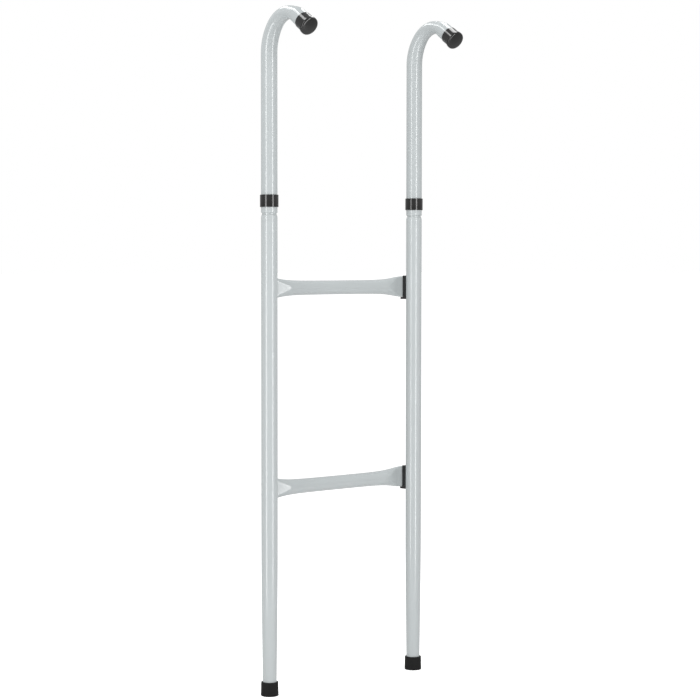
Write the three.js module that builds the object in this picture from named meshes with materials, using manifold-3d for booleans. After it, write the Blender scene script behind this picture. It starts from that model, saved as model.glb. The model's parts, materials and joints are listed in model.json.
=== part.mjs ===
// Two-step hook-on ladder, the kind that hangs on the rim of a garden trampoline.
// Units are millimetres, +Z is up, X runs along the rungs and the hooks point towards -Y.
// The origin is on the ground, midway between the two feet.

import * as THREE from 'three';
import { mergeVertices } from 'three/addons/utils/BufferGeometryUtils.js';
import Module from 'manifold-3d';

// ---------------------------------------------------------------- driving dimensions

const GAP = 0.3; // clearance between pieces that touch
const ROUND_SIDES = 20; // facets round a tube, a cap or a collar
const SMALL_SIDES = 14; // facets round a screw or a screw hole

const STILE_SPACING = 304.4; // centre to centre of the two uprights
const TUBE_RADIUS = 12.7; // 25.4 mm steel tube
const TUBE_WALL = 1.2;

const LOWEST_RUNG_HEIGHT = 319.8;
const RUNG_PITCH = 312.7;
const RUNG_RADIUS = 11.1; // 22.2 mm steel tube
const RUNG_WALL = 1.1;
const RUNG_END_HALF_HEIGHT = 17; // the same tube crushed flat
const RUNG_END_HALF_DEPTH = 1.3;
const RUNG_END_SLIT = 0.2; // half the gap left inside a crushed end
const RUNG_END_REACH = 1.5; // how far a crushed end runs past the middle of its stile
const CRUSH_HALFWAY = 37; // distance from the stile's middle where the rung is half crushed
const CRUSH_POWER = 3.6; // how quickly its height changes there
const SLOPE_START = 18; // between these distances its front and back slope evenly from flat to round
const SLOPE_END = 54;
const SLOPE_EASING = 0.2; // share of that length given to rounding each of its two ends
const CRUSH_LENGTH = 110; // beyond this it is round for all purposes

const JOINT_HEIGHT = 748.5; // lower end of the hook tubes
const NECK_VISIBLE = 2.5; // bare neck between a hook tube and the shoulder under it
const SHOULDER_HEIGHT = 6;
const NECK_LENGTH = 75; // how far the neck goes up into the hook tube
const NECK_RADIUS = 11.2;

const TAPER_TOP = 210; // the stile narrows below this height
const TAPER_POWER = 1.3;
const FOOT_RADIUS = 11;

const HOOK_TOP = 1050.5; // centre line of the tube at the top of the hook
const WIDE_BEND_RADIUS = 67.5;
const WIDE_BEND_ANGLE = THREE.MathUtils.degToRad(40);
const TIGHT_BEND_RADIUS = 40.5;
const HOOK_ANGLE = THREE.MathUtils.degToRad(124.5); // the whole bend
const BEND_FLATTENING = 0.19; // loss of thickness in the bend
const BEND_WIDENING = 0.035;
const FLATTEN_START = THREE.MathUtils.degToRad(5);
const FLATTEN_FULL = THREE.MathUtils.degToRad(50);
const FLATTEN_FADE = THREE.MathUtils.degToRad(104); // where the tube starts to turn round again
const HOOK_TAIL = 32.5; // straight end of the hook, measured to the cap's end face

const HOOK_CAP_LENGTH = 19.5;
const HOOK_CAP_RADIUS = 13.7;
const HOOK_CAP_HEAD_RADIUS = 14.9; // the cap swells to this at its closed end
const HOOK_CAP_HEAD_LENGTH = 5;
const HOOK_CAP_END = 4; // thickness of the closed end at its rim
const HOOK_CAP_DOME = 2.2;

const FOOT_CAP_HEIGHT = 22;
const FOOT_CAP_RADIUS = 13.8;
const FOOT_CAP_FLOOR = 3;
const CAP_EDGE = 1.2; // rounding on the rims of caps

const COLLAR_BOTTOM = 757.4;
const COLLAR_HEIGHT = 18.9;
const COLLAR_RADIUS = 14.3;
const COLLAR_EDGE = 0.5;

const SPACER_INWARD = 10.5; // how far the saddle reaches towards the rung from the stile's middle
const SPACER_OUTWARD = 3.5; // and away from it
const SPACER_WEB = 2.4; // plastic between the stile and the rung's end
const SPACER_TOP = 18; // above the rung's middle
const LEDGE_THICKNESS = 3.3; // the ledge under the rung's end
const LEDGE_DEPTH = 5.5;
const LEDGE_START = 1; // from the stile's middle towards the rung

const SCREW_RADIUS = 2.4; // 4.8 mm self-tapping screw with a pan head
const SCREW_LENGTH = 16;
const SCREW_POINT = 4;
const SCREW_HEAD_RADIUS = 4.6;
const SCREW_HEAD_HEIGHT = 2.8;
const SCREW_INWARD = 4; // from the stile's middle towards the rung
const SCREW_HEIGHTS = [-8, 8]; // above and below the rung's middle

const MERGE_TOLERANCE = 1e-4;

// ---------------------------------------------------------------- materials

const tubeFinish = () => new THREE.MeshStandardMaterial({ color: 0xc6cacb, roughness: 0.38, metalness: 0.2 });
const blackPlastic = () => new THREE.MeshStandardMaterial({ color: 0x1d1d1e, roughness: 0.42, metalness: 0 });
const blackRubber = () => new THREE.MeshStandardMaterial({ color: 0x191919, roughness: 0.75, metalness: 0 });
const zincPlate = () => new THREE.MeshStandardMaterial({ color: 0xb4b8ba, roughness: 0.3, metalness: 0.9 });

// ---------------------------------------------------------------- geometry helpers

const wasm = await Module();
wasm.setup();

/** A closed geometry as a solid that can be joined and cut. */
function toSolid(geometry) {
  const bare = geometry.clone();
  bare.deleteAttribute('normal');
  bare.deleteAttribute('uv');
  const merged = mergeVertices(bare, MERGE_TOLERANCE);
  const corners = merged.index.array;
  const kept = [];
  for (let i = 0; i < corners.length; i += 3) {
    const [a, b, c] = corners.slice(i, i + 3);
    if (a !== b && b !== c && c !== a) kept.push(a, b, c);
  }
  return new wasm.Manifold(
    new wasm.Mesh({
      numProp: 3,
      vertProperties: merged.attributes.position.array,
      triVerts: Uint32Array.from(kept),
    }),
  );
}

/** The finished solid as a geometry again. */
function toGeometry(solid) {
  const { vertProperties, triVerts } = solid.getMesh();
  const geometry = new THREE.BufferGeometry();
  geometry.setAttribute('position', new THREE.BufferAttribute(vertProperties, 3));
  geometry.setIndex(new THREE.BufferAttribute(triVerts, 1));
  geometry.computeVertexNormals();
  return geometry;
}

/** A solid of revolution about Y from [radius, height] pairs. */
function turned(profile, sides = ROUND_SIDES) {
  return new THREE.LatheGeometry(profile.map(([radius, height]) => new THREE.Vector2(radius, height)), sides);
}

/** A hollow turned piece: the outer profile going up, then the inner one coming down, closed on itself. */
function turnedHollow(outer, inner, sides) {
  return turned([...outer, ...inner.toReversed(), outer[0]], sides);
}

/** The same, standing upright along Z. */
function turnedUpright(outer, inner, sides) {
  return turnedHollow(outer, inner, sides).rotateX(Math.PI / 2);
}

/** A solid with its screw holes drilled along Y between two depths, beside the stile's middle at x. */
function drilled(solid, x, inward, from, to) {
  const radius = SCREW_RADIUS + GAP;
  let result = solid;
  for (const height of SCREW_HEIGHTS) {
    const hole = new THREE.CylinderGeometry(radius, radius, to - from, SMALL_SIDES);
    hole.translate(x + inward * SCREW_INWARD, (from + to) / 2, height);
    result = result.subtract(toSolid(hole));
  }
  return result;
}

/** Moves each point of a geometry to the place that the function gives for it. */
function reshaped(geometry, place) {
  const position = geometry.attributes.position;
  const point = new THREE.Vector3();
  for (let i = 0; i < position.count; i += 1) {
    point.fromBufferAttribute(position, i);
    place(point);
    position.setXYZ(i, point.x, point.y, point.z);
  }
  return geometry;
}

const smooth = (value, from, to) => THREE.MathUtils.smoothstep(value, from, to);

/** A number of even steps from one value to another, both ends included. */
function steps(from, to, count) {
  return Array.from({ length: count + 1 }, (_, i) => from + ((to - from) * i) / count);
}

const ladder = new THREE.Group();

function addPiece(name, geometry, material, place = [0, 0, 0]) {
  const mesh = new THREE.Mesh(geometry, material);
  mesh.name = name;
  mesh.position.set(...place);
  ladder.add(mesh);
  return mesh;
}

// Each side's stile, and the direction from it towards the rungs.
const SIDES = {
  left: { x: -STILE_SPACING / 2, inward: 1 },
  right: { x: STILE_SPACING / 2, inward: -1 },
};
const RUNGS = { lower: LOWEST_RUNG_HEIGHT, upper: LOWEST_RUNG_HEIGHT + RUNG_PITCH };

// Places behind a stile, measured back from its centre line.
const SADDLE_RADIUS = TUBE_RADIUS + GAP;
const SPACER_BACK = SADDLE_RADIUS + SPACER_WEB;
const RUNG_CENTRE = SPACER_BACK + GAP + RUNG_END_HALF_DEPTH;
const RUNG_BACK = RUNG_CENTRE + RUNG_END_HALF_DEPTH;
const SCREW_SEAT = RUNG_BACK + GAP;

// ---------------------------------------------------------------- lower stiles

/** Outer radius of a stile in its tapered lower part. */
function taperRadius(height) {
  const down = THREE.MathUtils.clamp((TAPER_TOP - height) / (TAPER_TOP - FOOT_CAP_HEIGHT), 0, 1);
  return TUBE_RADIUS - (TUBE_RADIUS - FOOT_RADIUS) * down ** TAPER_POWER;
}

function lowerStile(inward) {
  const bottom = FOOT_CAP_FLOOR + GAP;
  const neckStart = JOINT_HEIGHT - NECK_VISIBLE;
  const shoulder = neckStart - SHOULDER_HEIGHT;
  const neckTop = JOINT_HEIGHT + NECK_LENGTH;
  const shoulderMiddle = shoulder + SHOULDER_HEIGHT * 0.55;
  const outer = [
    [FOOT_RADIUS, bottom],
    ...steps(FOOT_CAP_HEIGHT, TAPER_TOP, 4).map((height) => [taperRadius(height), height]),
    [TUBE_RADIUS, shoulder],
    [TUBE_RADIUS - 0.35, shoulderMiddle],
    [NECK_RADIUS, neckStart],
    [NECK_RADIUS, neckTop],
  ];
  const inner = [
    [FOOT_RADIUS - TUBE_WALL, bottom],
    [FOOT_RADIUS - TUBE_WALL, FOOT_CAP_HEIGHT],
    [TUBE_RADIUS - TUBE_WALL, TAPER_TOP],
    [TUBE_RADIUS - TUBE_WALL, shoulder],
    [NECK_RADIUS - TUBE_WALL, neckStart],
    [NECK_RADIUS - TUBE_WALL, neckTop],
  ];
  let tube = toSolid(turnedUpright(outer, inner));
  for (const height of Object.values(RUNGS)) {
    const local = tube.translate([0, 0, -height]);
    tube = drilled(local, 0, inward, TUBE_RADIUS / 2, TUBE_RADIUS + 1).translate([0, 0, height]);
  }
  return toGeometry(tube);
}

// ---------------------------------------------------------------- hook tubes

const HOOK_RISE = WIDE_BEND_RADIUS * Math.sin(WIDE_BEND_ANGLE) + TIGHT_BEND_RADIUS * (1 - Math.sin(WIDE_BEND_ANGLE));
const STRAIGHT_LENGTH = HOOK_TOP - HOOK_RISE - JOINT_HEIGHT;
const WIDE_BEND_LENGTH = WIDE_BEND_RADIUS * WIDE_BEND_ANGLE;
const TIGHT_BEND_LENGTH = TIGHT_BEND_RADIUS * (HOOK_ANGLE - WIDE_BEND_ANGLE);
const BEND_END = STRAIGHT_LENGTH + WIDE_BEND_LENGTH + TIGHT_BEND_LENGTH;
const HOOK_LENGTH = BEND_END + HOOK_TAIL;

/** How far round the bend the tube's centre line has turned, that far along it. */
function bendAngle(along) {
  const wide = THREE.MathUtils.clamp((along - STRAIGHT_LENGTH) / WIDE_BEND_RADIUS, 0, WIDE_BEND_ANGLE);
  const tight = (along - STRAIGHT_LENGTH - WIDE_BEND_LENGTH) / TIGHT_BEND_RADIUS;
  return wide + THREE.MathUtils.clamp(tight, 0, HOOK_ANGLE - WIDE_BEND_ANGLE);
}

/** The centre line's point that far along the tube, as its reach towards -Y and its height. */
function hookPoint(along) {
  const angle = bendAngle(along);
  const wide = Math.min(angle, WIDE_BEND_ANGLE);
  const straight = Math.min(along, STRAIGHT_LENGTH);
  const tail = Math.max(along - BEND_END, 0);
  return {
    reach:
      WIDE_BEND_RADIUS * (1 - Math.cos(wide)) +
      TIGHT_BEND_RADIUS * (Math.cos(wide) - Math.cos(angle)) +
      tail * Math.sin(angle),
    height:
      JOINT_HEIGHT +
      straight +
      WIDE_BEND_RADIUS * Math.sin(wide) +
      TIGHT_BEND_RADIUS * (Math.sin(angle) - Math.sin(wide)) +
      tail * Math.cos(angle),
  };
}

/** How oval the tube is, from 0 where it is round to 1 where the bend has pressed it most. */
function ovality(along) {
  const angle = bendAngle(along);
  return smooth(angle, FLATTEN_START, FLATTEN_FULL) * (1 - smooth(angle, FLATTEN_FADE, HOOK_ANGLE));
}

function hookTube() {
  const tubeEnd = HOOK_LENGTH - HOOK_CAP_END - GAP;
  const along = [
    0,
    STRAIGHT_LENGTH,
    ...steps(STRAIGHT_LENGTH, STRAIGHT_LENGTH + WIDE_BEND_LENGTH, 4).slice(1),
    ...steps(STRAIGHT_LENGTH + WIDE_BEND_LENGTH, BEND_END, 8).slice(1),
    tubeEnd,
  ];
  const wall = (radius) => along.map((distance) => [radius, distance]);
  const straightTube = turnedHollow(wall(TUBE_RADIUS), wall(TUBE_RADIUS - TUBE_WALL));
  return reshaped(straightTube, (point) => {
    const angle = bendAngle(point.y);
    const centre = hookPoint(point.y);
    const oval = ovality(point.y);
    const across = point.z * (1 - BEND_FLATTENING * oval);
    const sideways = point.x * (1 + BEND_WIDENING * oval);
    point.set(sideways, -centre.reach - across * Math.cos(angle), centre.height - across * Math.sin(angle));
  });
}

// ---------------------------------------------------------------- caps and collars

/** A domed cap with a swollen head, for the end of a hook: its end at the origin and its mouth below. */
function hookCap() {
  const inner = TUBE_RADIUS + GAP;
  const profile = [
    [0, -HOOK_CAP_END],
    [inner, -HOOK_CAP_END],
    [inner, -HOOK_CAP_LENGTH],
    [HOOK_CAP_RADIUS, -HOOK_CAP_LENGTH],
    [HOOK_CAP_RADIUS, -HOOK_CAP_HEAD_LENGTH - CAP_EDGE],
    [HOOK_CAP_HEAD_RADIUS, -HOOK_CAP_HEAD_LENGTH],
    [HOOK_CAP_HEAD_RADIUS, -CAP_EDGE],
    [HOOK_CAP_HEAD_RADIUS - CAP_EDGE, 0],
    [HOOK_CAP_HEAD_RADIUS * 0.5, HOOK_CAP_DOME * 0.75],
    [0, HOOK_CAP_DOME],
  ];
  return turned(profile);
}

function footCap() {
  const inner = FOOT_RADIUS + GAP;
  const profile = [
    [0, 0],
    [FOOT_CAP_RADIUS - CAP_EDGE, 0],
    [FOOT_CAP_RADIUS, CAP_EDGE],
    [FOOT_CAP_RADIUS, FOOT_CAP_HEIGHT - CAP_EDGE],
    [FOOT_CAP_RADIUS - CAP_EDGE / 2, FOOT_CAP_HEIGHT],
    [inner, FOOT_CAP_HEIGHT],
    [inner, FOOT_CAP_FLOOR],
    [0, FOOT_CAP_FLOOR],
  ];
  return turned(profile).rotateX(Math.PI / 2);
}

function jointCollar() {
  const outer = [
    [COLLAR_RADIUS - COLLAR_EDGE, 0],
    [COLLAR_RADIUS, COLLAR_EDGE],
    [COLLAR_RADIUS, COLLAR_HEIGHT - COLLAR_EDGE],
    [COLLAR_RADIUS - COLLAR_EDGE, COLLAR_HEIGHT],
  ];
  const inner = [
    [TUBE_RADIUS + GAP, 0],
    [TUBE_RADIUS + GAP, COLLAR_HEIGHT],
  ];
  return turnedUpright(outer, inner);
}

// ---------------------------------------------------------------- rungs

/** How tall the rung is drawn out, from 0 in its round middle to 1 at its crushed ends. */
function crush(fromStile) {
  return 1 / (1 + (fromStile / CRUSH_HALFWAY) ** CRUSH_POWER);
}

/** How deep the rung is, from 0 at its crushed ends to 1 where it is round: an even ramp with eased ends. */
function swelling(fromStile) {
  const t = THREE.MathUtils.clamp((fromStile - SLOPE_START) / (SLOPE_END - SLOPE_START), 0, 1);
  const steepness = 1 / (1 - SLOPE_EASING);
  const fromEnd = Math.min(t, 1 - t);
  const eased = (steepness * fromEnd ** 2) / (2 * SLOPE_EASING);
  const even = steepness * (fromEnd - SLOPE_EASING / 2);
  const rise = fromEnd < SLOPE_EASING ? eased : even;
  return t < 0.5 ? rise : 1 - rise;
}

function rung() {
  const halfLength = STILE_SPACING / 2 + RUNG_END_REACH;
  const roundStart = STILE_SPACING / 2 - CRUSH_LENGTH;
  const along = [...steps(-halfLength, -roundStart, 9), ...steps(roundStart, halfLength, 9)];
  const wall = (radius) => along.map((x) => [radius, x]);
  const roundTube = turnedHollow(wall(RUNG_RADIUS), wall(RUNG_RADIUS - RUNG_WALL));
  const crushed = reshaped(roundTube, (point) => {
    const fromStile = Math.max(STILE_SPACING / 2 - Math.abs(point.y), 0);
    const flat = crush(fromStile);
    const radius = Math.hypot(point.x, point.z);
    const outside = radius > RUNG_RADIUS - RUNG_WALL / 2;
    const endHeight = outside ? RUNG_END_HALF_HEIGHT : RUNG_END_HALF_HEIGHT - RUNG_WALL;
    const endDepth = outside ? RUNG_END_HALF_DEPTH : RUNG_END_SLIT;
    const height = THREE.MathUtils.lerp(radius, endHeight, flat);
    const depth = THREE.MathUtils.lerp(endDepth, radius, swelling(fromStile));
    // The front and back go flat as the tube is crushed, and the bend moves to its top and bottom edges.
    const squareness = THREE.MathUtils.lerp(1, 0.35, flat);
    const front = point.x / radius;
    const y = depth * Math.sign(front) * Math.abs(front) ** squareness;
    point.set(point.y, y, -height * (point.z / radius));
  });
  const past = RUNG_END_HALF_DEPTH + 1;
  let tube = toSolid(crushed);
  for (const { x, inward } of Object.values(SIDES)) {
    tube = drilled(tube, x, inward, -past, past);
  }
  return toGeometry(tube);
}

// ---------------------------------------------------------------- rung fixings, laid out along Y behind a stile

/** A plastic saddle: hollow towards the stile, flat towards the rung, with a ledge under the rung's end. */
function rungSpacer(inward) {
  const outwardAngle = Math.PI / 2 + Math.asin(SPACER_OUTWARD / SADDLE_RADIUS);
  const inwardAngle = Math.PI / 2 - Math.asin(SPACER_INWARD / SADDLE_RADIUS);
  const ledgeBack = SPACER_BACK + LEDGE_DEPTH;
  const ledgeTop = -RUNG_END_HALF_HEIGHT - GAP;
  const bottom = ledgeTop - LEDGE_THICKNESS;
  const outline = [
    [SPACER_INWARD, ledgeBack],
    [LEDGE_START, ledgeBack],
    [-SPACER_OUTWARD, SPACER_BACK],
    ...steps(outwardAngle, inwardAngle, 6).map((angle) => [
      SADDLE_RADIUS * Math.cos(angle),
      SADDLE_RADIUS * Math.sin(angle),
    ]),
  ];
  const shape = new THREE.Shape(outline.map(([across, back]) => new THREE.Vector2(inward * across, back)));
  const block = new THREE.ExtrudeGeometry(shape, { depth: SPACER_TOP - bottom, bevelEnabled: false });
  block.translate(0, 0, bottom);
  const pocketHeight = SPACER_TOP + 1 - ledgeTop;
  const pocketDepth = LEDGE_DEPTH + 1;
  const pocket = new THREE.BoxGeometry(3 * SPACER_INWARD, pocketDepth, pocketHeight);
  pocket.translate(0, SPACER_BACK + pocketDepth / 2, ledgeTop + pocketHeight / 2);
  const saddle = toSolid(block).subtract(toSolid(pocket));
  return toGeometry(drilled(saddle, 0, inward, 0, ledgeBack));
}

/** A pan-head screw driven in from behind, its point inside the stile. */
function rungScrew() {
  const point = SCREW_SEAT - SCREW_LENGTH;
  const headTop = SCREW_SEAT + SCREW_HEAD_HEIGHT;
  const profile = [
    [0, point],
    [SCREW_RADIUS, point + SCREW_POINT],
    [SCREW_RADIUS, SCREW_SEAT],
    [SCREW_HEAD_RADIUS, SCREW_SEAT],
    [SCREW_HEAD_RADIUS, SCREW_SEAT + SCREW_HEAD_HEIGHT / 3],
    [SCREW_HEAD_RADIUS * 0.7, headTop - 0.3],
    [0, headTop],
  ];
  return turned(profile, SMALL_SIDES);
}

// ---------------------------------------------------------------- the ladder

for (const [side, { x, inward }] of Object.entries(SIDES)) {
  addPiece(`${side}_lower_stile`, lowerStile(inward), tubeFinish(), [x, 0, 0]);
  addPiece(`${side}_foot_cap`, footCap(), blackRubber(), [x, 0, 0]);
  addPiece(`${side}_hook_tube`, hookTube(), tubeFinish(), [x, 0, 0]);
  addPiece(`${side}_joint_collar`, jointCollar(), blackPlastic(), [x, 0, COLLAR_BOTTOM]);

  const tip = hookPoint(HOOK_LENGTH);
  const cap = addPiece(`${side}_hook_cap`, hookCap(), blackPlastic(), [x, -tip.reach, tip.height]);
  cap.rotation.x = Math.PI / 2 + HOOK_ANGLE;
}

for (const [level, height] of Object.entries(RUNGS)) {
  addPiece(`${level}_rung`, rung(), tubeFinish(), [0, RUNG_CENTRE, height]);
  for (const [side, { x, inward }] of Object.entries(SIDES)) {
    addPiece(`${level}_${side}_spacer`, rungSpacer(inward), blackPlastic(), [x, 0, height]);
    SCREW_HEIGHTS.forEach((offset, index) => {
      const place = [x + inward * SCREW_INWARD, 0, height + offset];
      addPiece(`${level}_${side}_screw_${index + 1}`, rungScrew(), zincPlate(), place);
    });
  }
}

export default ladder;
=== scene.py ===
"""The looks of a two-step hook-on ladder: hooked tube uprights, crushed-end rungs and black fittings.

Every piece is built here in metres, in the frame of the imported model: X along the rungs, +Z up, hooks
towards -Y. Lengths marked mm are turned into metres by the constant MM.
"""

import json
import math

import bmesh
import bpy
from mathutils import Matrix, Vector

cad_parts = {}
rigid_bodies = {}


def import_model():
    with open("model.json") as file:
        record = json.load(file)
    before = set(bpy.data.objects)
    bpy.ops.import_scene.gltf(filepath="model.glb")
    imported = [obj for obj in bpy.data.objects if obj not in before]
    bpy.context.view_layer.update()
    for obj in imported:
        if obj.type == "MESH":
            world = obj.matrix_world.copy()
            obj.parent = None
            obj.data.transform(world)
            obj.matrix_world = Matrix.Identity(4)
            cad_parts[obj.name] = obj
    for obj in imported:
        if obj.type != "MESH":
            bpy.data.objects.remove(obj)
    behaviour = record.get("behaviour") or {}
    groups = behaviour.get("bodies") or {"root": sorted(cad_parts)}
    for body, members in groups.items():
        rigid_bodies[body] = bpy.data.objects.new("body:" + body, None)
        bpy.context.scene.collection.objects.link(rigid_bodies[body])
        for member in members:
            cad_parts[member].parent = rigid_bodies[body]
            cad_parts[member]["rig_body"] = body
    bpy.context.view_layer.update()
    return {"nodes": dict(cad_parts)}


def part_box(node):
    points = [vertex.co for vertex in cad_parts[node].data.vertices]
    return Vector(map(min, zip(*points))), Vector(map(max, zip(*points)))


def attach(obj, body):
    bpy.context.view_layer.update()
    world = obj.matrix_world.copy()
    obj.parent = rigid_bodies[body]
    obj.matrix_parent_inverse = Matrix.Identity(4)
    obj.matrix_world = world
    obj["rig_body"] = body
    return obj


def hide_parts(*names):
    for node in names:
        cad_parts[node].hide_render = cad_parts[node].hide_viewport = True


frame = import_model()

MM = 0.001

# ---------------------------------------------------------------- sizes read from the frame

SIDES = ("left", "right")
LEVELS = ("lower", "upper")
INWARD = {"left": 1, "right": -1}  # the direction along X from each upright to the rungs


def span(node, axis):
    """Lowest and highest place of a CAD node along an axis, 0 to 2 for X to Z."""
    low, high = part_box(node)
    return low[axis], high[axis]


def middle(node, axis):
    """The place halfway along a CAD node, on an axis."""
    return sum(span(node, axis)) / 2


STILE_X = {side: middle(f"{side}_lower_stile", 0) for side in SIDES}
RUNG_Z = {level: middle(f"{level}_rung", 2) for level in LEVELS}
RUNG_Y = middle("upper_rung", 1)
TUBE_RADIUS = (span("left_lower_stile", 0)[1] - span("left_lower_stile", 0)[0]) / 2
STILE_BOTTOM, NECK_TOP = span("left_lower_stile", 2)
JOINT_Z = span("left_hook_tube", 2)[0]
FOOT_CAP_HEIGHT = span("left_foot_cap", 2)[1]
FOOT_CAP_RADIUS = (span("left_foot_cap", 0)[1] - span("left_foot_cap", 0)[0]) / 2
COLLAR_BOTTOM, COLLAR_TOP = span("left_joint_collar", 2)
COLLAR_RADIUS = (span("left_joint_collar", 0)[1] - span("left_joint_collar", 0)[0]) / 2
HOOK_CAP_HEAD_RADIUS = (span("left_hook_cap", 0)[1] - span("left_hook_cap", 0)[0]) / 2
RUNG_RADIUS = (span("upper_rung", 1)[1] - span("upper_rung", 1)[0]) / 2
RUNG_END_HALF_HEIGHT = (span("upper_rung", 2)[1] - span("upper_rung", 2)[0]) / 2
RUNG_HALF_LENGTH = span("upper_rung", 0)[1]

# ---------------------------------------------------------------- sizes the frame's boxes don't give

GAP = 0.3 * MM  # between pieces that touch on the real ladder
PINHOLE = 0.2 * MM  # radius left open on the axis of each turned cap
TUBE_WALL = 1.2 * MM
RUNG_WALL = 1.1 * MM
TUBE_POINTS = 72  # points round a tube

NECK_RADIUS = 11.2 * MM
NECK_VISIBLE = 2.5 * MM  # bare neck under each hook tube
SHOULDER_HEIGHT = 6 * MM
NECK_FOOT = 0.3 * MM  # from the shoulder's top to the neck's first ring
TAPER_TOP = 210 * MM
TAPER_POWER = 1.3
FOOT_RADIUS = 11 * MM

WIDE_BEND_RADIUS = 67.5 * MM
WIDE_BEND_ANGLE = math.radians(40)
TIGHT_BEND_RADIUS = 40.5 * MM
HOOK_ANGLE = math.radians(124.5)
HOOK_TOP = 1050.5 * MM  # the centre line's highest point
HOOK_TAIL = 32.5 * MM
BEND_FLATTENING = 0.19
BEND_WIDENING = 0.035
FLATTEN_START = math.radians(5)
FLATTEN_FULL = math.radians(50)
FLATTEN_FADE = math.radians(104)  # where the tube starts to turn round again
ROLLED_EDGE = ((0.0, 0.35 * MM), (0.2 * MM, 0.1 * MM), (0.6 * MM, 0.0))  # along the tube, inwards

HOOK_CAP_LENGTH = 19.5 * MM
HOOK_CAP_RADIUS = 13.7 * MM
HOOK_CAP_HEAD_LENGTH = 5 * MM
HOOK_CAP_STEP = 0.5 * MM  # length of the slope from barrel to head
HOOK_CAP_RIM = 2 * MM  # rounding of the closed end
HOOK_CAP_DOME = 2.2 * MM
HOOK_CAP_DOME_RINGS = (0.8, 0.7, 0.55, 0.4, 0.25, 0.1, 0.02)  # shares of the head's radius
HOOK_CAP_END = 4 * MM
FOOT_CAP_FLOOR = 3 * MM
FOOT_CAP_SOLE_RECESS = 0.5 * MM

RUNG_END_HALF_DEPTH = 1.3 * MM
RUNG_END_SLIT = 0.2 * MM
CRUSH_HALFWAY = 37 * MM  # distance from the upright's middle where a rung is half crushed
CRUSH_POWER = 3.6  # how quickly its height turns from flat to round there
SLOPE_START = 18 * MM  # between these distances its front slopes evenly from flat to round
SLOPE_END = 54 * MM
SLOPE_EASING = 0.2  # share of that length given to rounding each of its two ends
CRUSH_LENGTH = 120 * MM
FACET_APEX = 51 * MM  # where the two ridges beside the flat front meet
FACET_SLOPE = 0.5  # how fast they spread from there
FACET_LEAST = 2.5 * MM  # half the height that always has the facet's points

SPACER_INWARD = 10.5 * MM
SPACER_OUTWARD = 3.5 * MM
SPACER_TOP = 18 * MM
LEDGE_THICKNESS = 3.3 * MM
LEDGE_DEPTH = 5.5 * MM
LEDGE_START = 1 * MM
SADDLE_RADIUS = TUBE_RADIUS + GAP

SCREW_RADIUS = 2.4 * MM
SCREW_LENGTH = 16 * MM
SCREW_POINT = 4 * MM
SCREW_TIP_RADIUS = 0.1 * MM  # of the small faces that close its two ends
SCREW_HEAD_RADIUS = 4.6 * MM
SCREW_HEAD_HEIGHT = 2.8 * MM
SCREW_HEAD_RIM = 0.25  # share of the head's height that is its straight rim
SCREW_HEAD_FULLNESS = 0.55  # below 1 the pan head is squarer than a dome

# ---------------------------------------------------------------- mesh helpers


def clamp(value, low, high):
    return max(low, min(high, value))


def smooth(value, start, end):
    """0 before start, 1 after end, and an even S between them."""
    t = clamp((value - start) / (end - start), 0.0, 1.0)
    return t * t * (3 - 2 * t)


def mix(a, b, t):
    return a + (b - a) * t


def steps(start, end, count):
    """A number of even steps from start to end, both included."""
    return [mix(start, end, i / count) for i in range(count + 1)]


def ring_mesh(rings, loop=False):
    """A mesh of quads between successive rings of points, closed at its ends or round in a loop."""
    mesh = bmesh.new()
    rows = [[mesh.verts.new(point) for point in ring] for ring in rings]
    pairs = list(zip(rows, rows[1:]))
    if loop:
        pairs.append((rows[-1], rows[0]))
    count = len(rows[0])
    for lower, upper in pairs:
        for i in range(count):
            j = (i + 1) % count
            mesh.faces.new((lower[i], lower[j], upper[j], upper[i]))
    if not loop:
        mesh.faces.new(rows[0][::-1])
        mesh.faces.new(rows[-1])
    bmesh.ops.recalc_face_normals(mesh, faces=mesh.faces)
    return mesh


def circle(radius, z, count=TUBE_POINTS):
    return [
        Vector((radius * math.cos(a), radius * math.sin(a), z))
        for a in (2 * math.pi * i / count for i in range(count))
    ]


def turned(profile, count=TUBE_POINTS, loop=False):
    """A solid of revolution about Z from (radius, z) pairs."""
    return ring_mesh([circle(radius, z, count) for radius, z in profile], loop)


def rounded(corner, before, after, radius, count=4):
    """The points of a round corner between two edges of a profile, each given by its far end."""
    corner, before, after = (Vector(p) for p in (corner, before, after))
    into = (corner - before).normalized()
    out = (after - corner).normalized()
    start = corner - into * radius
    end = corner + out * radius
    curve = []
    for t in steps(0, 1, count):
        point = start.lerp(corner, t).lerp(corner.lerp(end, t), t)
        curve.append((point.x, point.y))
    return curve


def soft_profile(corners):
    """A profile from (radius, z, rounding) corners: each corner with a rounding becomes a small curve."""
    points = []
    for i, (radius, z, rounding) in enumerate(corners):
        if not rounding:
            points.append((radius, z))
            continue
        before = corners[i - 1][:2]
        after = corners[(i + 1) % len(corners)][:2]
        points += rounded((radius, z), before, after, rounding)
    return points


def tipped(mesh, angle):
    """The mesh turned about the X axis."""
    bmesh.ops.rotate(mesh, verts=mesh.verts, cent=(0, 0, 0), matrix=Matrix.Rotation(angle, 3, "X"))
    return mesh


def add_piece(name, mesh, node, material, place, sharp=40):
    """Makes an object of the mesh, in place of a CAD node, riding on that node's body.

    Edges that turn by more than sharp degrees stay sharp.
    """
    data = bpy.data.meshes.new(name)
    mesh.to_mesh(data)
    mesh.free()
    data.transform(Matrix.Translation(place))
    data.shade_smooth()
    data.set_sharp_from_angle(angle=math.radians(sharp))
    data.materials.append(material)
    piece = bpy.data.objects.new(name, data)
    bpy.context.scene.collection.objects.link(piece)
    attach(piece, frame["nodes"][node]["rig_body"])
    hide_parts(node)


# ---------------------------------------------------------------- materials


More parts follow.
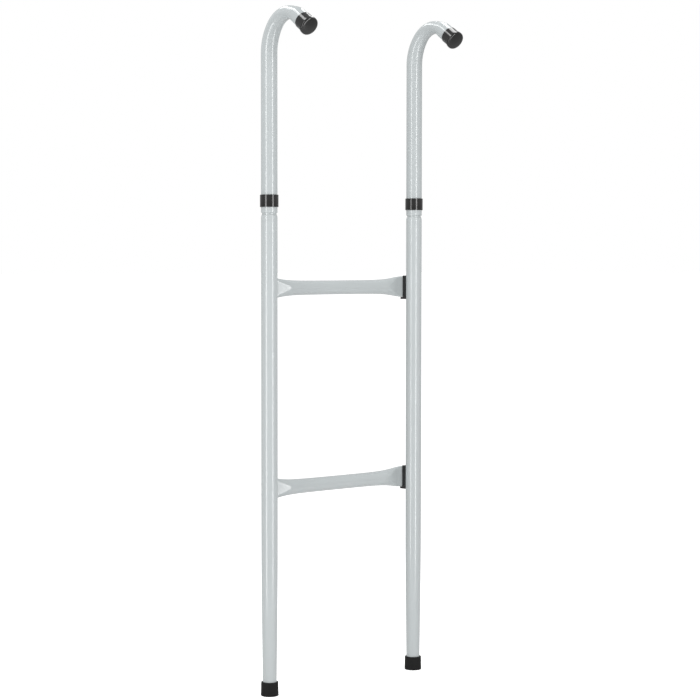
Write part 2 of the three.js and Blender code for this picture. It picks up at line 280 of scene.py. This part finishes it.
class Nodes:
    """Short calls to build a material's node tree."""

    def __init__(self, name, slot):
        self.material = bpy.data.materials.new(name)
        self.material.use_nodes = True
        self.material["slot"] = slot
        self.tree = self.material.node_tree
        self.shader = self.tree.nodes["Principled BSDF"]

    def add(self, kind, **values):
        """A new node, with values for its inputs and settings."""
        node = self.tree.nodes.new(kind)
        for key, value in values.items():
            if key in node.inputs:
                node.inputs[key].default_value = value
            else:
                setattr(node, key, value)
        return node

    def link(self, source, output, target, socket):
        self.tree.links.new(source.outputs[output], target.inputs[socket])

    def coordinates(self):
        """Places on the piece, in metres."""
        return self.add("ShaderNodeTexCoord")

    def noise(self, scale, detail=2.0, roughness=0.5):
        """Noise whose grain is about 1/scale metres across."""
        texture = self.add("ShaderNodeTexNoise", Scale=scale, Detail=detail, Roughness=roughness)
        self.link(self.coordinates(), "Object", texture, "Vector")
        return texture

    def ramp(self, source, output, low, high, dark, light):
        """Colours or greys between two places on a texture's range."""
        ramp = self.add("ShaderNodeValToRGB")
        first, last = ramp.color_ramp.elements
        first.position, last.position = low, high
        first.color, last.color = dark, light
        self.link(source, output, ramp, "Fac")
        return ramp

    def bump(self, texture, strength, distance):
        """Raised grain from a texture."""
        bump = self.add("ShaderNodeBump", Strength=strength, Distance=distance)
        self.link(texture, 0, bump, "Height")
        self.link(bump, "Normal", self.shader, "Normal")


def grey(value, cool=0.0):
    """A grey as a colour, short of red and a little bluer than neutral if cool is above 0."""
    return (value * (1 - cool), value, value * (1 + 0.2 * cool), 1.0)


def tube_coating():
    """Light grey powder coat: a fine orange-peel surface and very slight clouding of the colour."""
    n = Nodes("grey_powder_coat", "tube_finish")
    clouds = n.noise(28, detail=3)
    colour = n.ramp(clouds, "Fac", 0.3, 0.7, grey(0.495, 0.065), grey(0.505, 0.065))
    n.link(colour, "Color", n.shader, "Base Color")
    patches = n.noise(90, detail=2)
    gloss = n.ramp(patches, "Fac", 0.3, 0.7, grey(0.13), grey(0.16))
    n.link(gloss, "Color", n.shader, "Roughness")
    peel = n.noise(420, detail=1)
    n.bump(peel, strength=0.1, distance=0.01 * MM)
    n.shader.inputs["IOR"].default_value = 1.62
    return n.material


def cap_plastic():
    """Black moulded plastic with a low sheen and a fine spark-eroded grain."""
    n = Nodes("black_moulded_plastic", "black_plastic")
    clouds = n.noise(60)
    colour = n.ramp(clouds, "Fac", 0.3, 0.7, grey(0.003), grey(0.005))
    n.link(colour, "Color", n.shader, "Base Color")
    patches = n.noise(240, detail=3)
    gloss = n.ramp(patches, "Fac", 0.3, 0.7, grey(0.13), grey(0.18))
    n.link(gloss, "Color", n.shader, "Roughness")
    grain = n.noise(1900, detail=2)
    n.bump(grain, strength=0.2, distance=0.01 * MM)
    n.shader.inputs["Specular IOR Level"].default_value = 0.7
    return n.material


def foot_rubber():
    """Matte black rubber with a faint bloom of dust in its grain."""
    n = Nodes("black_rubber", "foot_rubber")
    dust = n.noise(420, detail=4, roughness=0.7)
    colour = n.ramp(dust, "Fac", 0.45, 0.75, grey(0.004), grey(0.01))
    n.link(colour, "Color", n.shader, "Base Color")
    gloss = n.ramp(dust, "Fac", 0.3, 0.7, grey(0.58), grey(0.78))
    n.link(gloss, "Color", n.shader, "Roughness")
    grain = n.noise(1400, detail=2)
    n.bump(grain, strength=0.8, distance=0.05 * MM)
    n.shader.inputs["Specular IOR Level"].default_value = 0.25
    return n.material


def screw_zinc():
    """Bright zinc plate with fine turning marks and a little uneven tarnish."""
    n = Nodes("zinc_plated_steel", "zinc_plate")
    tarnish = n.noise(500, detail=3)
    colour = n.ramp(tarnish, "Fac", 0.3, 0.75, (0.56, 0.57, 0.6, 1), (0.7, 0.71, 0.72, 1))
    n.link(colour, "Color", n.shader, "Base Color")
    gloss = n.ramp(tarnish, "Fac", 0.3, 0.7, grey(0.24), grey(0.38))
    n.link(gloss, "Color", n.shader, "Roughness")
    marks = n.noise(3000, detail=1)
    n.bump(marks, strength=0.4, distance=0.02 * MM)
    n.shader.inputs["Metallic"].default_value = 1.0
    return n.material


TUBE_COATING = tube_coating()
CAP_PLASTIC = cap_plastic()
FOOT_RUBBER = foot_rubber()
SCREW_ZINC = screw_zinc()

# ---------------------------------------------------------------- lower uprights


def taper_radius(z):
    """Outer radius of an upright in its tapered lower part."""
    down = clamp((TAPER_TOP - z) / (TAPER_TOP - FOOT_CAP_HEIGHT), 0, 1)
    return TUBE_RADIUS - (TUBE_RADIUS - FOOT_RADIUS) * down**TAPER_POWER


def lower_stile():
    """The upright's tube: tapered foot, straight middle, rounded shoulder and the hook tube's neck."""
    neck_start = JOINT_Z - NECK_VISIBLE
    shoulder = neck_start - SHOULDER_HEIGHT
    outer = [(FOOT_RADIUS, STILE_BOTTOM)]
    outer += [(taper_radius(z), z) for z in steps(FOOT_CAP_HEIGHT, TAPER_TOP, count=16)]
    for turn in steps(0, math.pi / 2, count=8):
        drop = (TUBE_RADIUS - NECK_RADIUS) * (1 - math.cos(turn))
        outer.append((TUBE_RADIUS - drop, shoulder + SHOULDER_HEIGHT * math.sin(turn)))
    outer += [(NECK_RADIUS, neck_start + NECK_FOOT), (NECK_RADIUS, NECK_TOP)]
    inner = [
        (NECK_RADIUS - TUBE_WALL, NECK_TOP),
        (NECK_RADIUS - TUBE_WALL, neck_start),
        (TUBE_RADIUS - TUBE_WALL, shoulder),
        (TUBE_RADIUS - TUBE_WALL, TAPER_TOP),
        (FOOT_RADIUS - TUBE_WALL, FOOT_CAP_HEIGHT),
        (FOOT_RADIUS - TUBE_WALL, STILE_BOTTOM),
    ]
    return turned(outer + inner, loop=True)


# ---------------------------------------------------------------- hook tubes

WIDE_RISE = WIDE_BEND_RADIUS * math.sin(WIDE_BEND_ANGLE)
TIGHT_RISE = TIGHT_BEND_RADIUS * (1 - math.sin(WIDE_BEND_ANGLE))
STRAIGHT_LENGTH = HOOK_TOP - WIDE_RISE - TIGHT_RISE - JOINT_Z
WIDE_LENGTH = WIDE_BEND_RADIUS * WIDE_BEND_ANGLE
BEND_END = STRAIGHT_LENGTH + WIDE_LENGTH + TIGHT_BEND_RADIUS * (HOOK_ANGLE - WIDE_BEND_ANGLE)
HOOK_LENGTH = BEND_END + HOOK_TAIL


def bend_angle(along):
    """How far round the bend the centre line has turned, that far along the hook tube."""
    wide = clamp((along - STRAIGHT_LENGTH) / WIDE_BEND_RADIUS, 0, WIDE_BEND_ANGLE)
    tight = (along - STRAIGHT_LENGTH - WIDE_LENGTH) / TIGHT_BEND_RADIUS
    return wide + clamp(tight, 0, HOOK_ANGLE - WIDE_BEND_ANGLE)


def hook_point(along):
    """The centre line's place that far along, as its reach towards -Y and its height."""
    angle = bend_angle(along)
    wide = min(angle, WIDE_BEND_ANGLE)
    tail = max(along - BEND_END, 0)
    reach = WIDE_BEND_RADIUS * (1 - math.cos(wide))
    reach += TIGHT_BEND_RADIUS * (math.cos(wide) - math.cos(angle)) + tail * math.sin(angle)
    height = JOINT_Z + min(along, STRAIGHT_LENGTH) + WIDE_BEND_RADIUS * math.sin(wide)
    height += TIGHT_BEND_RADIUS * (math.sin(angle) - math.sin(wide)) + tail * math.cos(angle)
    return reach, height


def hook_ring(radius, along):
    """The tube's outline at a place along it, pressed oval in the bend."""
    angle = bend_angle(along)
    reach, height = hook_point(along)
    oval = smooth(angle, FLATTEN_START, FLATTEN_FULL) * (1 - smooth(angle, FLATTEN_FADE, HOOK_ANGLE))
    ring = []
    for point in circle(radius, 0):
        across = point.y * (1 - BEND_FLATTENING * oval)
        sideways = point.x * (1 + BEND_WIDENING * oval)
        y = -reach + across * math.cos(angle)
        z = height + across * math.sin(angle)
        ring.append(Vector((sideways, y, z)))
    return ring


def hook_tube():
    """The upper upright: straight, then bent over in a hook, with a rolled edge at its open lower end."""
    tube_end = HOOK_LENGTH - HOOK_CAP_END - GAP
    bend_stops = steps(STRAIGHT_LENGTH, BEND_END, count=72)
    inner_radius = TUBE_RADIUS - TUBE_WALL
    rings = [hook_ring(TUBE_RADIUS - inwards, along) for along, inwards in ROLLED_EDGE]
    rings += [hook_ring(TUBE_RADIUS, along) for along in [*bend_stops, tube_end]]
    rings += [hook_ring(inner_radius, along) for along in [tube_end, *bend_stops[::-1], 0.0]]
    return ring_mesh(rings, loop=True)


# ---------------------------------------------------------------- caps and collars


def hook_cap():
    """A domed cap for the hook's end, its end face at the origin and its mouth towards -Z."""
    inner = TUBE_RADIUS + GAP
    barrel = HOOK_CAP_RADIUS
    head = HOOK_CAP_HEAD_RADIUS
    dome = [(head * s, HOOK_CAP_DOME * (1 - s * s)) for s in HOOK_CAP_DOME_RINGS]
    outside = soft_profile(
        [
            (inner, -HOOK_CAP_LENGTH, 0),
            (barrel, -HOOK_CAP_LENGTH, 0.3 * MM),
            (barrel, -HOOK_CAP_HEAD_LENGTH - HOOK_CAP_STEP, 0.2 * MM),
            (head, -HOOK_CAP_HEAD_LENGTH, 0.8 * MM),
            (head, 0, HOOK_CAP_RIM),
            (*dome[0], 0),
        ]
    )
    inside = [(PINHOLE, -HOOK_CAP_END), (inner, -HOOK_CAP_END)]
    return turned(outside + dome[1:] + inside, loop=True)


def foot_cap():
    """A plain rubber cup with rounded rims and a slightly recessed sole."""
    inner = FOOT_RADIUS + GAP
    r = FOOT_CAP_RADIUS
    profile = soft_profile(
        [
            (inner, FOOT_CAP_FLOOR, 0),
            (inner, FOOT_CAP_HEIGHT, 0.5 * MM),
            (r - 0.4 * MM, FOOT_CAP_HEIGHT, 1.0 * MM),
            (r, 2 * MM, 0),
            (r, 0, 1.2 * MM),
            (r * 0.72, 0, 0.2 * MM),
            (r * 0.68, FOOT_CAP_SOLE_RECESS, 0),
            (PINHOLE, FOOT_CAP_SOLE_RECESS, 0),
            (PINHOLE, FOOT_CAP_FLOOR, 0),
        ]
    )
    return turned(profile, loop=True)


def joint_collar():
    """A plastic ring with small rounded rims."""
    inner = TUBE_RADIUS + GAP
    profile = soft_profile(
        [
            (inner, COLLAR_BOTTOM, 0.3 * MM),
            (COLLAR_RADIUS, COLLAR_BOTTOM, 0.6 * MM),
            (COLLAR_RADIUS, COLLAR_TOP, 0.6 * MM),
            (inner, COLLAR_TOP, 0.3 * MM),
        ]
    )
    return turned(profile, loop=True)


# ---------------------------------------------------------------- rungs


def crush(from_stile):
    """How tall a rung is drawn out, from 0 in its round middle to 1 at its crushed ends."""
    return 1 / (1 + (max(from_stile, 0) / CRUSH_HALFWAY) ** CRUSH_POWER)


def swelling(from_stile):
    """How deep a rung is, from 0 at its crushed ends to 1 where round: an even ramp, its ends eased."""
    t = clamp((from_stile - SLOPE_START) / (SLOPE_END - SLOPE_START), 0, 1)
    steepness = 1 / (1 - SLOPE_EASING)
    from_end = min(t, 1 - t)
    if from_end < SLOPE_EASING:
        rise = steepness * from_end**2 / (2 * SLOPE_EASING)
    else:
        rise = steepness * (from_end - SLOPE_EASING / 2)
    return rise if t < 0.5 else 1 - rise


def rung_ring(x, wall):
    """A rung's outline at a place along it. A wall above 0 gives the inside's outline.

    The crushed part has a flat front and back, between two ridges that run together where it turns round.
    """
    from_stile = STILE_X["right"] - abs(x)
    flat = crush(from_stile)
    end_half_depth = RUNG_END_SLIT if wall else RUNG_END_HALF_DEPTH
    half_height = mix(RUNG_RADIUS, RUNG_END_HALF_HEIGHT, flat) - wall
    half_depth = mix(end_half_depth, RUNG_RADIUS - wall, swelling(from_stile))
    facet = clamp((FACET_APEX - from_stile) * FACET_SLOPE, 0, half_height - half_depth)
    bulge = half_depth / math.sqrt(1 - (facet / half_height) ** 2)
    laid_out = max(facet, FACET_LEAST)
    turn = math.acos(clamp(laid_out / half_height, -1, 1))

    def at(z):
        return min(half_depth, bulge * math.sqrt(max(0.0, 1 - (z / half_height) ** 2)))

    top_flank = []
    for a in steps(-turn, turn, count=24):
        z = half_height * math.cos(a)
        y = bulge * math.sin(a)
        top_flank.append((clamp(y, -half_depth, half_depth), z))
    front = [(-at(z), z) for z in steps(-laid_out, laid_out, count=10)[1:-1]]
    half = front + top_flank
    outline = half + [(-y, -z) for y, z in half]
    return [Vector((x, RUNG_Y + y, z)) for y, z in outline]


def rung():
    """A round tube crushed flat at both ends, hollow right through."""
    round_x = STILE_X["right"] - CRUSH_LENGTH
    half = [0.0, *steps(round_x, RUNG_HALF_LENGTH, count=80)]
    along = [-x for x in half[:0:-1]] + half
    rings = [rung_ring(x, 0) for x in along]
    rings += [rung_ring(x, RUNG_WALL) for x in along[::-1]]
    return ring_mesh(rings, loop=True)


# ---------------------------------------------------------------- rung fixings


def spacer(inward):
    """A plastic saddle between an upright and a rung's end, with a ledge under the rung."""
    back = RUNG_Y - RUNG_END_HALF_DEPTH - GAP
    ledge_back = back + LEDGE_DEPTH
    ledge_top = -RUNG_END_HALF_HEIGHT - GAP
    bottom = ledge_top - LEDGE_THICKNESS
    outward_angle = math.pi / 2 + math.asin(SPACER_OUTWARD / SADDLE_RADIUS)
    inward_angle = math.pi / 2 - math.asin(SPACER_INWARD / SADDLE_RADIUS)
    saddle = [
        (SADDLE_RADIUS * math.cos(a), SADDLE_RADIUS * math.sin(a))
        for a in steps(outward_angle, inward_angle, count=16)
    ]
    web = [(SPACER_INWARD, back), (-SPACER_OUTWARD, back), *saddle]
    ledge = [(SPACER_INWARD, ledge_back), (LEDGE_START, ledge_back), (-SPACER_OUTWARD, back), *saddle]
    mesh = bmesh.new()
    block(mesh, [(inward * x, y) for x, y in ledge], bottom, ledge_top)
    block(mesh, [(inward * x, y) for x, y in web], ledge_top, SPACER_TOP)
    bmesh.ops.recalc_face_normals(mesh, faces=mesh.faces)
    return mesh


def block(mesh, outline, bottom, top):
    """Adds an upright prism to a mesh."""
    low = [mesh.verts.new((x, y, bottom)) for x, y in outline]
    high = [mesh.verts.new((x, y, top)) for x, y in outline]
    mesh.faces.new(low)
    mesh.faces.new(high)
    for i in range(len(outline)):
        j = (i + 1) % len(outline)
        mesh.faces.new((low[i], low[j], high[j], high[i]))


def screw():
    """A pan-head screw along Z, its point at -Z and the underside of its head at the origin."""
    head = []
    for turn in steps(0, math.pi / 2, count=8):
        radius = SCREW_HEAD_RADIUS * math.cos(turn) ** SCREW_HEAD_FULLNESS
        height = SCREW_HEAD_HEIGHT * mix(SCREW_HEAD_RIM, 1, math.sin(turn))
        head.append((max(radius, SCREW_TIP_RADIUS), height))
    shank = [
        (SCREW_TIP_RADIUS, -SCREW_LENGTH),
        (SCREW_RADIUS, -SCREW_LENGTH + SCREW_POINT),
        (SCREW_RADIUS, 0),
        (SCREW_HEAD_RADIUS, 0),
    ]
    return turned(shank + head, count=32)


# ---------------------------------------------------------------- the ladder


def add_upright(side):
    """One side of the ladder: upright, hook tube, foot cup, collar and hook cap."""
    foot = (STILE_X[side], 0, 0)
    add_piece(f"{side}_lower_stile_tube", lower_stile(), f"{side}_lower_stile", TUBE_COATING, foot)
    add_piece(f"{side}_hook_bent_tube", hook_tube(), f"{side}_hook_tube", TUBE_COATING, foot)
    add_piece(f"{side}_foot_cup", foot_cap(), f"{side}_foot_cap", FOOT_RUBBER, foot, sharp=50)
    add_piece(f"{side}_collar_ring", joint_collar(), f"{side}_joint_collar", CAP_PLASTIC, foot, sharp=50)
    reach, height = hook_point(HOOK_LENGTH)
    hook_end = (STILE_X[side], -reach, height)
    cap = tipped(hook_cap(), HOOK_ANGLE)
    add_piece(f"{side}_hook_end_cap", cap, f"{side}_hook_cap", CAP_PLASTIC, hook_end, sharp=50)


def add_screw(node):
    """A screw whose head stands at the back of a CAD screw's box."""
    seat = (middle(node, 0), span(node, 1)[1] - SCREW_HEAD_HEIGHT, middle(node, 2))
    add_piece(f"{node}_pan_head", tipped(screw(), -math.pi / 2), node, SCREW_ZINC, seat)


def add_rung(level):
    """A rung with the saddle and the two screws at each of its ends."""
    z = RUNG_Z[level]
    add_piece(f"{level}_rung_tube", rung(), f"{level}_rung", TUBE_COATING, (0, 0, z), sharp=60)
    for side in SIDES:
        place = (STILE_X[side], 0, z)
        saddle = spacer(INWARD[side])
        add_piece(f"{level}_{side}_saddle", saddle, f"{level}_{side}_spacer", CAP_PLASTIC, place)
        for number in (1, 2):
            add_screw(f"{level}_{side}_screw_{number}")


for side in SIDES:
    add_upright(side)
for level in LEVELS:
    add_rung(level)

# ---------------------------------------------------------------- floor, light and camera

WORLD_LIGHT = 0.57  # the grey that lights the object from all round
FLOOR_HALF_WIDTH = 60.0
FLOOR_TONE = 0.8  # how much light it throws back at the object
FLOOR_TONE_SEEN = 0.98  # how light it looks to the camera
FLOOR_GLOW = 0.62  # keeps the floor as white as the background

CAMERA_PLACE = (-2.0904, -2.3977, 0.6825)
CAMERA_LENS = 102.86  # millimetres, as is the sensor
CAMERA_SENSOR_WIDTH = 36
CAMERA_REACH = 200  # how far it sees
CAMERA_YAW = 0.7201  # radians from +Y towards +X
CAMERA_TILT = -0.047
CAMERA_ROLL = 0.0009

SIDE_STRIP_POWERS = {"left_strip": 5.6, "right_strip": 6.6}  # watts
SIDE_STRIP_SIZE = (0.2, 1.7)
SIDE_STRIP_DISTANCE = 0.95
SIDE_STRIP_HEIGHT = 0.75  # of its middle
SIDE_STRIP_SPREAD = math.radians(41)  # each strip's bearing from the camera's

# how far each overhead strip is to the right of the origin, how far behind it, and its length
TOP_STRIPS = {"top_left_strip": (-0.43, 0.25, 1.1), "top_right_strip": (0.22, 0.4, 0.6)}
TOP_STRIP_WIDTH = 0.26
TOP_STRIP_HEIGHT = 1.65
TOP_STRIP_POWER = 4.6  # watts for each metre of length


def floor_material():
    """Almost white to the camera, so that it fades into the background, and light grey to the object."""
    material = bpy.data.materials.new("pale_floor")
    material.use_nodes = True
    material.cycles.emission_sampling = "NONE"
    tree = material.node_tree
    shader = tree.nodes["Principled BSDF"]
    shader.inputs["Roughness"].default_value = 0.9
    shader.inputs["Specular IOR Level"].default_value = 0.0
    shader.inputs["Emission Color"].default_value = grey(1.0)
    seen = tree.nodes.new("ShaderNodeLightPath")
    tone = tree.nodes.new("ShaderNodeMix")
    tone.data_type = "RGBA"
    tone.inputs["A"].default_value = grey(FLOOR_TONE)
    tone.inputs["B"].default_value = grey(FLOOR_TONE_SEEN)
    glow = tree.nodes.new("ShaderNodeMath")
    glow.operation = "MULTIPLY"
    glow.inputs[1].default_value = FLOOR_GLOW
    tree.links.new(seen.outputs["Is Camera Ray"], tone.inputs["Factor"])
    tree.links.new(tone.outputs["Result"], shader.inputs["Base Color"])
    tree.links.new(seen.outputs["Is Camera Ray"], glow.inputs[0])
    tree.links.new(glow.outputs["Value"], shader.inputs["Emission Strength"])
    return material


def stage_floor():
    """A plain pale floor, far wider than the view."""
    mesh = bmesh.new()
    bmesh.ops.create_grid(mesh, x_segments=1, y_segments=1, size=FLOOR_HALF_WIDTH)
    data = bpy.data.meshes.new("floor")
    mesh.to_mesh(data)
    mesh.free()
    data.materials.append(floor_material())
    floor = bpy.data.objects.new("floor", data)
    bpy.context.scene.collection.objects.link(floor)


def white_world():
    """White where the camera looks, and a softer grey light on the object from all round."""
    world = bpy.data.worlds.new("white_studio")
    world.use_nodes = True
    world.cycles.sampling_method = "NONE"
    tree = world.node_tree
    seen = tree.nodes.new("ShaderNodeLightPath")
    tone = tree.nodes.new("ShaderNodeMix")
    tone.data_type = "RGBA"
    tone.inputs["A"].default_value = grey(WORLD_LIGHT)
    tone.inputs["B"].default_value = grey(1.0)
    tree.links.new(seen.outputs["Is Camera Ray"], tone.inputs["Factor"])
    tree.links.new(tone.outputs["Result"], tree.nodes["Background"].inputs["Color"])
    bpy.context.scene.world = world


def area_light(name, place, rotation, size, power):
    """A rectangular light that the camera doesn't see."""
    light = bpy.data.lights.new(name, "AREA")
    light.shape = "RECTANGLE"
    light.size, light.size_y = size
    light.energy = power
    obj = bpy.data.objects.new(name, light)
    obj.location = place
    obj.rotation_euler = rotation
    obj.visible_camera = False
    bpy.context.scene.collection.objects.link(obj)


def side_strips():
    """Two upright strips, one on each side of the camera, that draw the long highlights on the tubes."""
    target = Vector((0, 0, SIDE_STRIP_HEIGHT))
    for (name, power), turn in zip(SIDE_STRIP_POWERS.items(), (SIDE_STRIP_SPREAD, -SIDE_STRIP_SPREAD)):
        bearing = math.pi + CAMERA_YAW + turn
        outward = Vector((math.sin(bearing), math.cos(bearing), 0))
        rotation = (-outward).to_track_quat("-Z", "Y").to_euler()
        area_light(name, target + outward * SIDE_STRIP_DISTANCE, rotation, SIDE_STRIP_SIZE, power)


def top_strips():
    """Strips overhead that light the tops of the hooks and rungs."""
    away = Vector((math.sin(CAMERA_YAW), math.cos(CAMERA_YAW), 0))  # level, away from the camera
    right_hand = Vector((away.y, -away.x, 0))
    for name, (across, along, length) in TOP_STRIPS.items():
        place = right_hand * across + away * along + Vector((0, 0, TOP_STRIP_HEIGHT))
        size = (TOP_STRIP_WIDTH, length)
        area_light(name, place, (0, 0, -CAMERA_YAW), size, TOP_STRIP_POWER * length)


def add_camera():
    """A long lens at rung height, looking at the ladder from its front left."""
    data = bpy.data.cameras.new("camera")
    data.lens = CAMERA_LENS
    data.sensor_width = CAMERA_SENSOR_WIDTH
    data.clip_end = CAMERA_REACH
    camera = bpy.data.objects.new("camera", data)
    camera.location = CAMERA_PLACE
    camera.rotation_euler = (math.pi / 2 + CAMERA_TILT, -CAMERA_ROLL, -CAMERA_YAW)
    bpy.context.scene.collection.objects.link(camera)
    bpy.context.scene.camera = camera


stage_floor()
white_world()
side_strips()
top_strips()
add_camera()
bpy.context.scene.view_settings.view_transform = "Standard"

# ---------------------------------------------------------------- scene update

bpy.context.view_layer.update()
